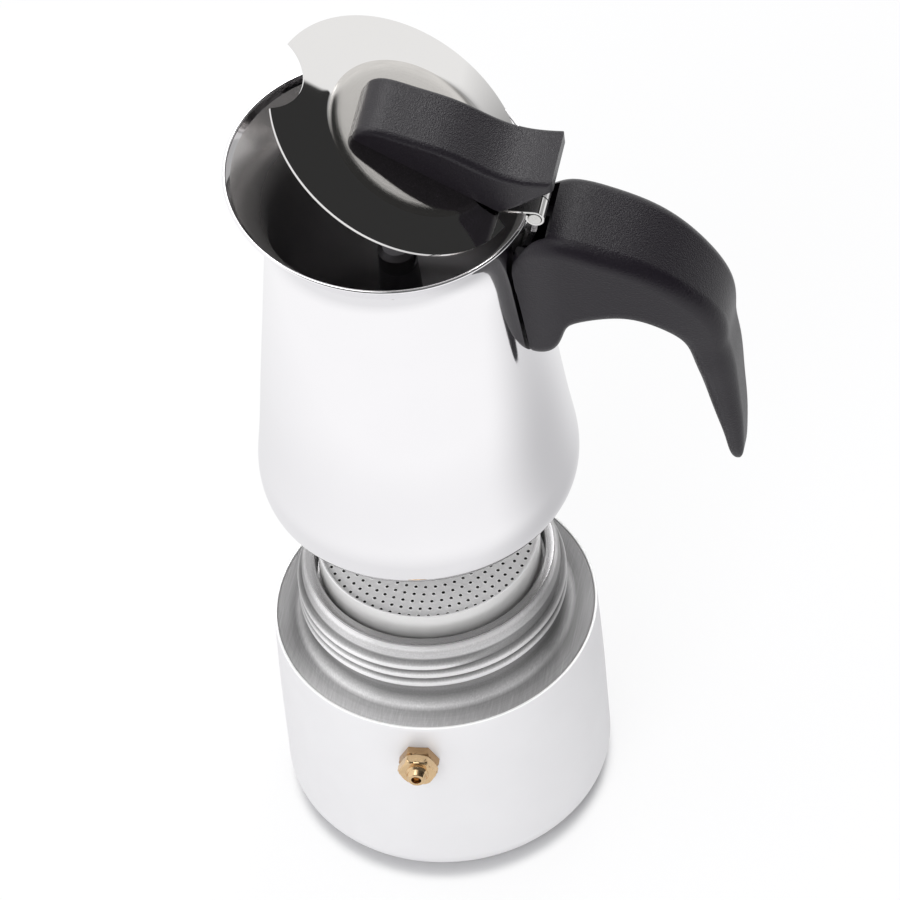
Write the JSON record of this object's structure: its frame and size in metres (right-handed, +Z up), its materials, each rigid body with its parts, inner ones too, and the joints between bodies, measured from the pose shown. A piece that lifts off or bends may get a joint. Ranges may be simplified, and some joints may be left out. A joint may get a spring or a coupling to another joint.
{
  "type": "stove-top moka pot",
  "caption": "Stove-top moka pot taken apart as for filling: boiler with safety valve, funnel, filter cup, and a jug on a riser with handle and hinged lid.",
  "frame": {"origin": "centre of the boiler's underside, where it stands", "axes": "+Z up through the boiler's axis; the handle points along +X, the pouring lip along -X; the safety valve faces -Y"},
  "size_m": [0.149, 0.1074, 0.2964],
  "materials": {
    "polished_steel": "mirror polished stainless steel",
    "turned_steel": "turned, satin",
    "bright_steel": "bright drawn sheet",
    "brass": "turned, slightly tarnished",
    "grip_black": "finely grained, satin",
    "gasket_rubber": "matt silicone"
  },
  "bodies": {
    "boiler": {"boiler_shell": "polished_steel", "boiler_shoulder": "turned_steel", "valve_collar": "brass", "valve_body": "brass", "valve_seal": "gasket_rubber", "valve_nut": "brass", "valve_plug": "brass", "valve_spring": "bright_steel"},
    "poppet": {"valve_poppet": "brass"},
    "funnel": {"funnel_basket": "bright_steel", "funnel_grid": "bright_steel", "funnel_stem": "bright_steel"},
    "filter": {"filter_cup": "bright_steel"},
    "seal": {"gasket": "gasket_rubber"},
    "jug": {"jug_shell": "polished_steel", "thread_ring": "turned_steel", "jug_floor": "bright_steel", "riser_tube": "bright_steel", "riser_cap": "bright_steel", "handle_bracket": "bright_steel", "hinge_pin": "bright_steel", "handle": "grip_black", "handle_nut": "bright_steel", "handle_screw": "bright_steel"},
    "lid": {"lid": "polished_steel", "lid_knob": "grip_black", "knob_screws": "bright_steel"}
  },
  "joints": [
    {"name": "poppet_slide", "type": "slide", "parent": "boiler", "child": "poppet", "axis": [-0.0732, 0.9973, 0], "range_m": [0, 0.0012], "stiffness_N_per_m": 1500, "springref_m": -0.0005, "deforming": ["valve_spring"]},
    {"name": "funnel_lift", "type": "slide", "parent": "boiler", "child": "funnel", "axis": [0, 0, 1], "range_m": [0, 0.1]},
    {"name": "cup_lift", "type": "slide", "parent": "funnel", "child": "filter", "axis": [0, 0, 1], "range_m": [0, 0.025]},
    {"name": "jug_lift", "type": "slide", "parent": "filter", "child": "seal", "axis": [0, 0, 1], "range_m": [-0.0585, 0.06]},
    {"name": "jug_twist", "type": "hinge", "parent": "seal", "child": "jug", "pos_m": [0, 0, 0], "axis": [0, 0, 1], "continuous": true},
    {"name": "lid_hinge", "type": "hinge", "parent": "jug", "child": "lid", "pos_m": [0.044, 0, 0.2568], "axis": [0, 1, 0], "range_deg": [-25.9, 78]}
  ]
}
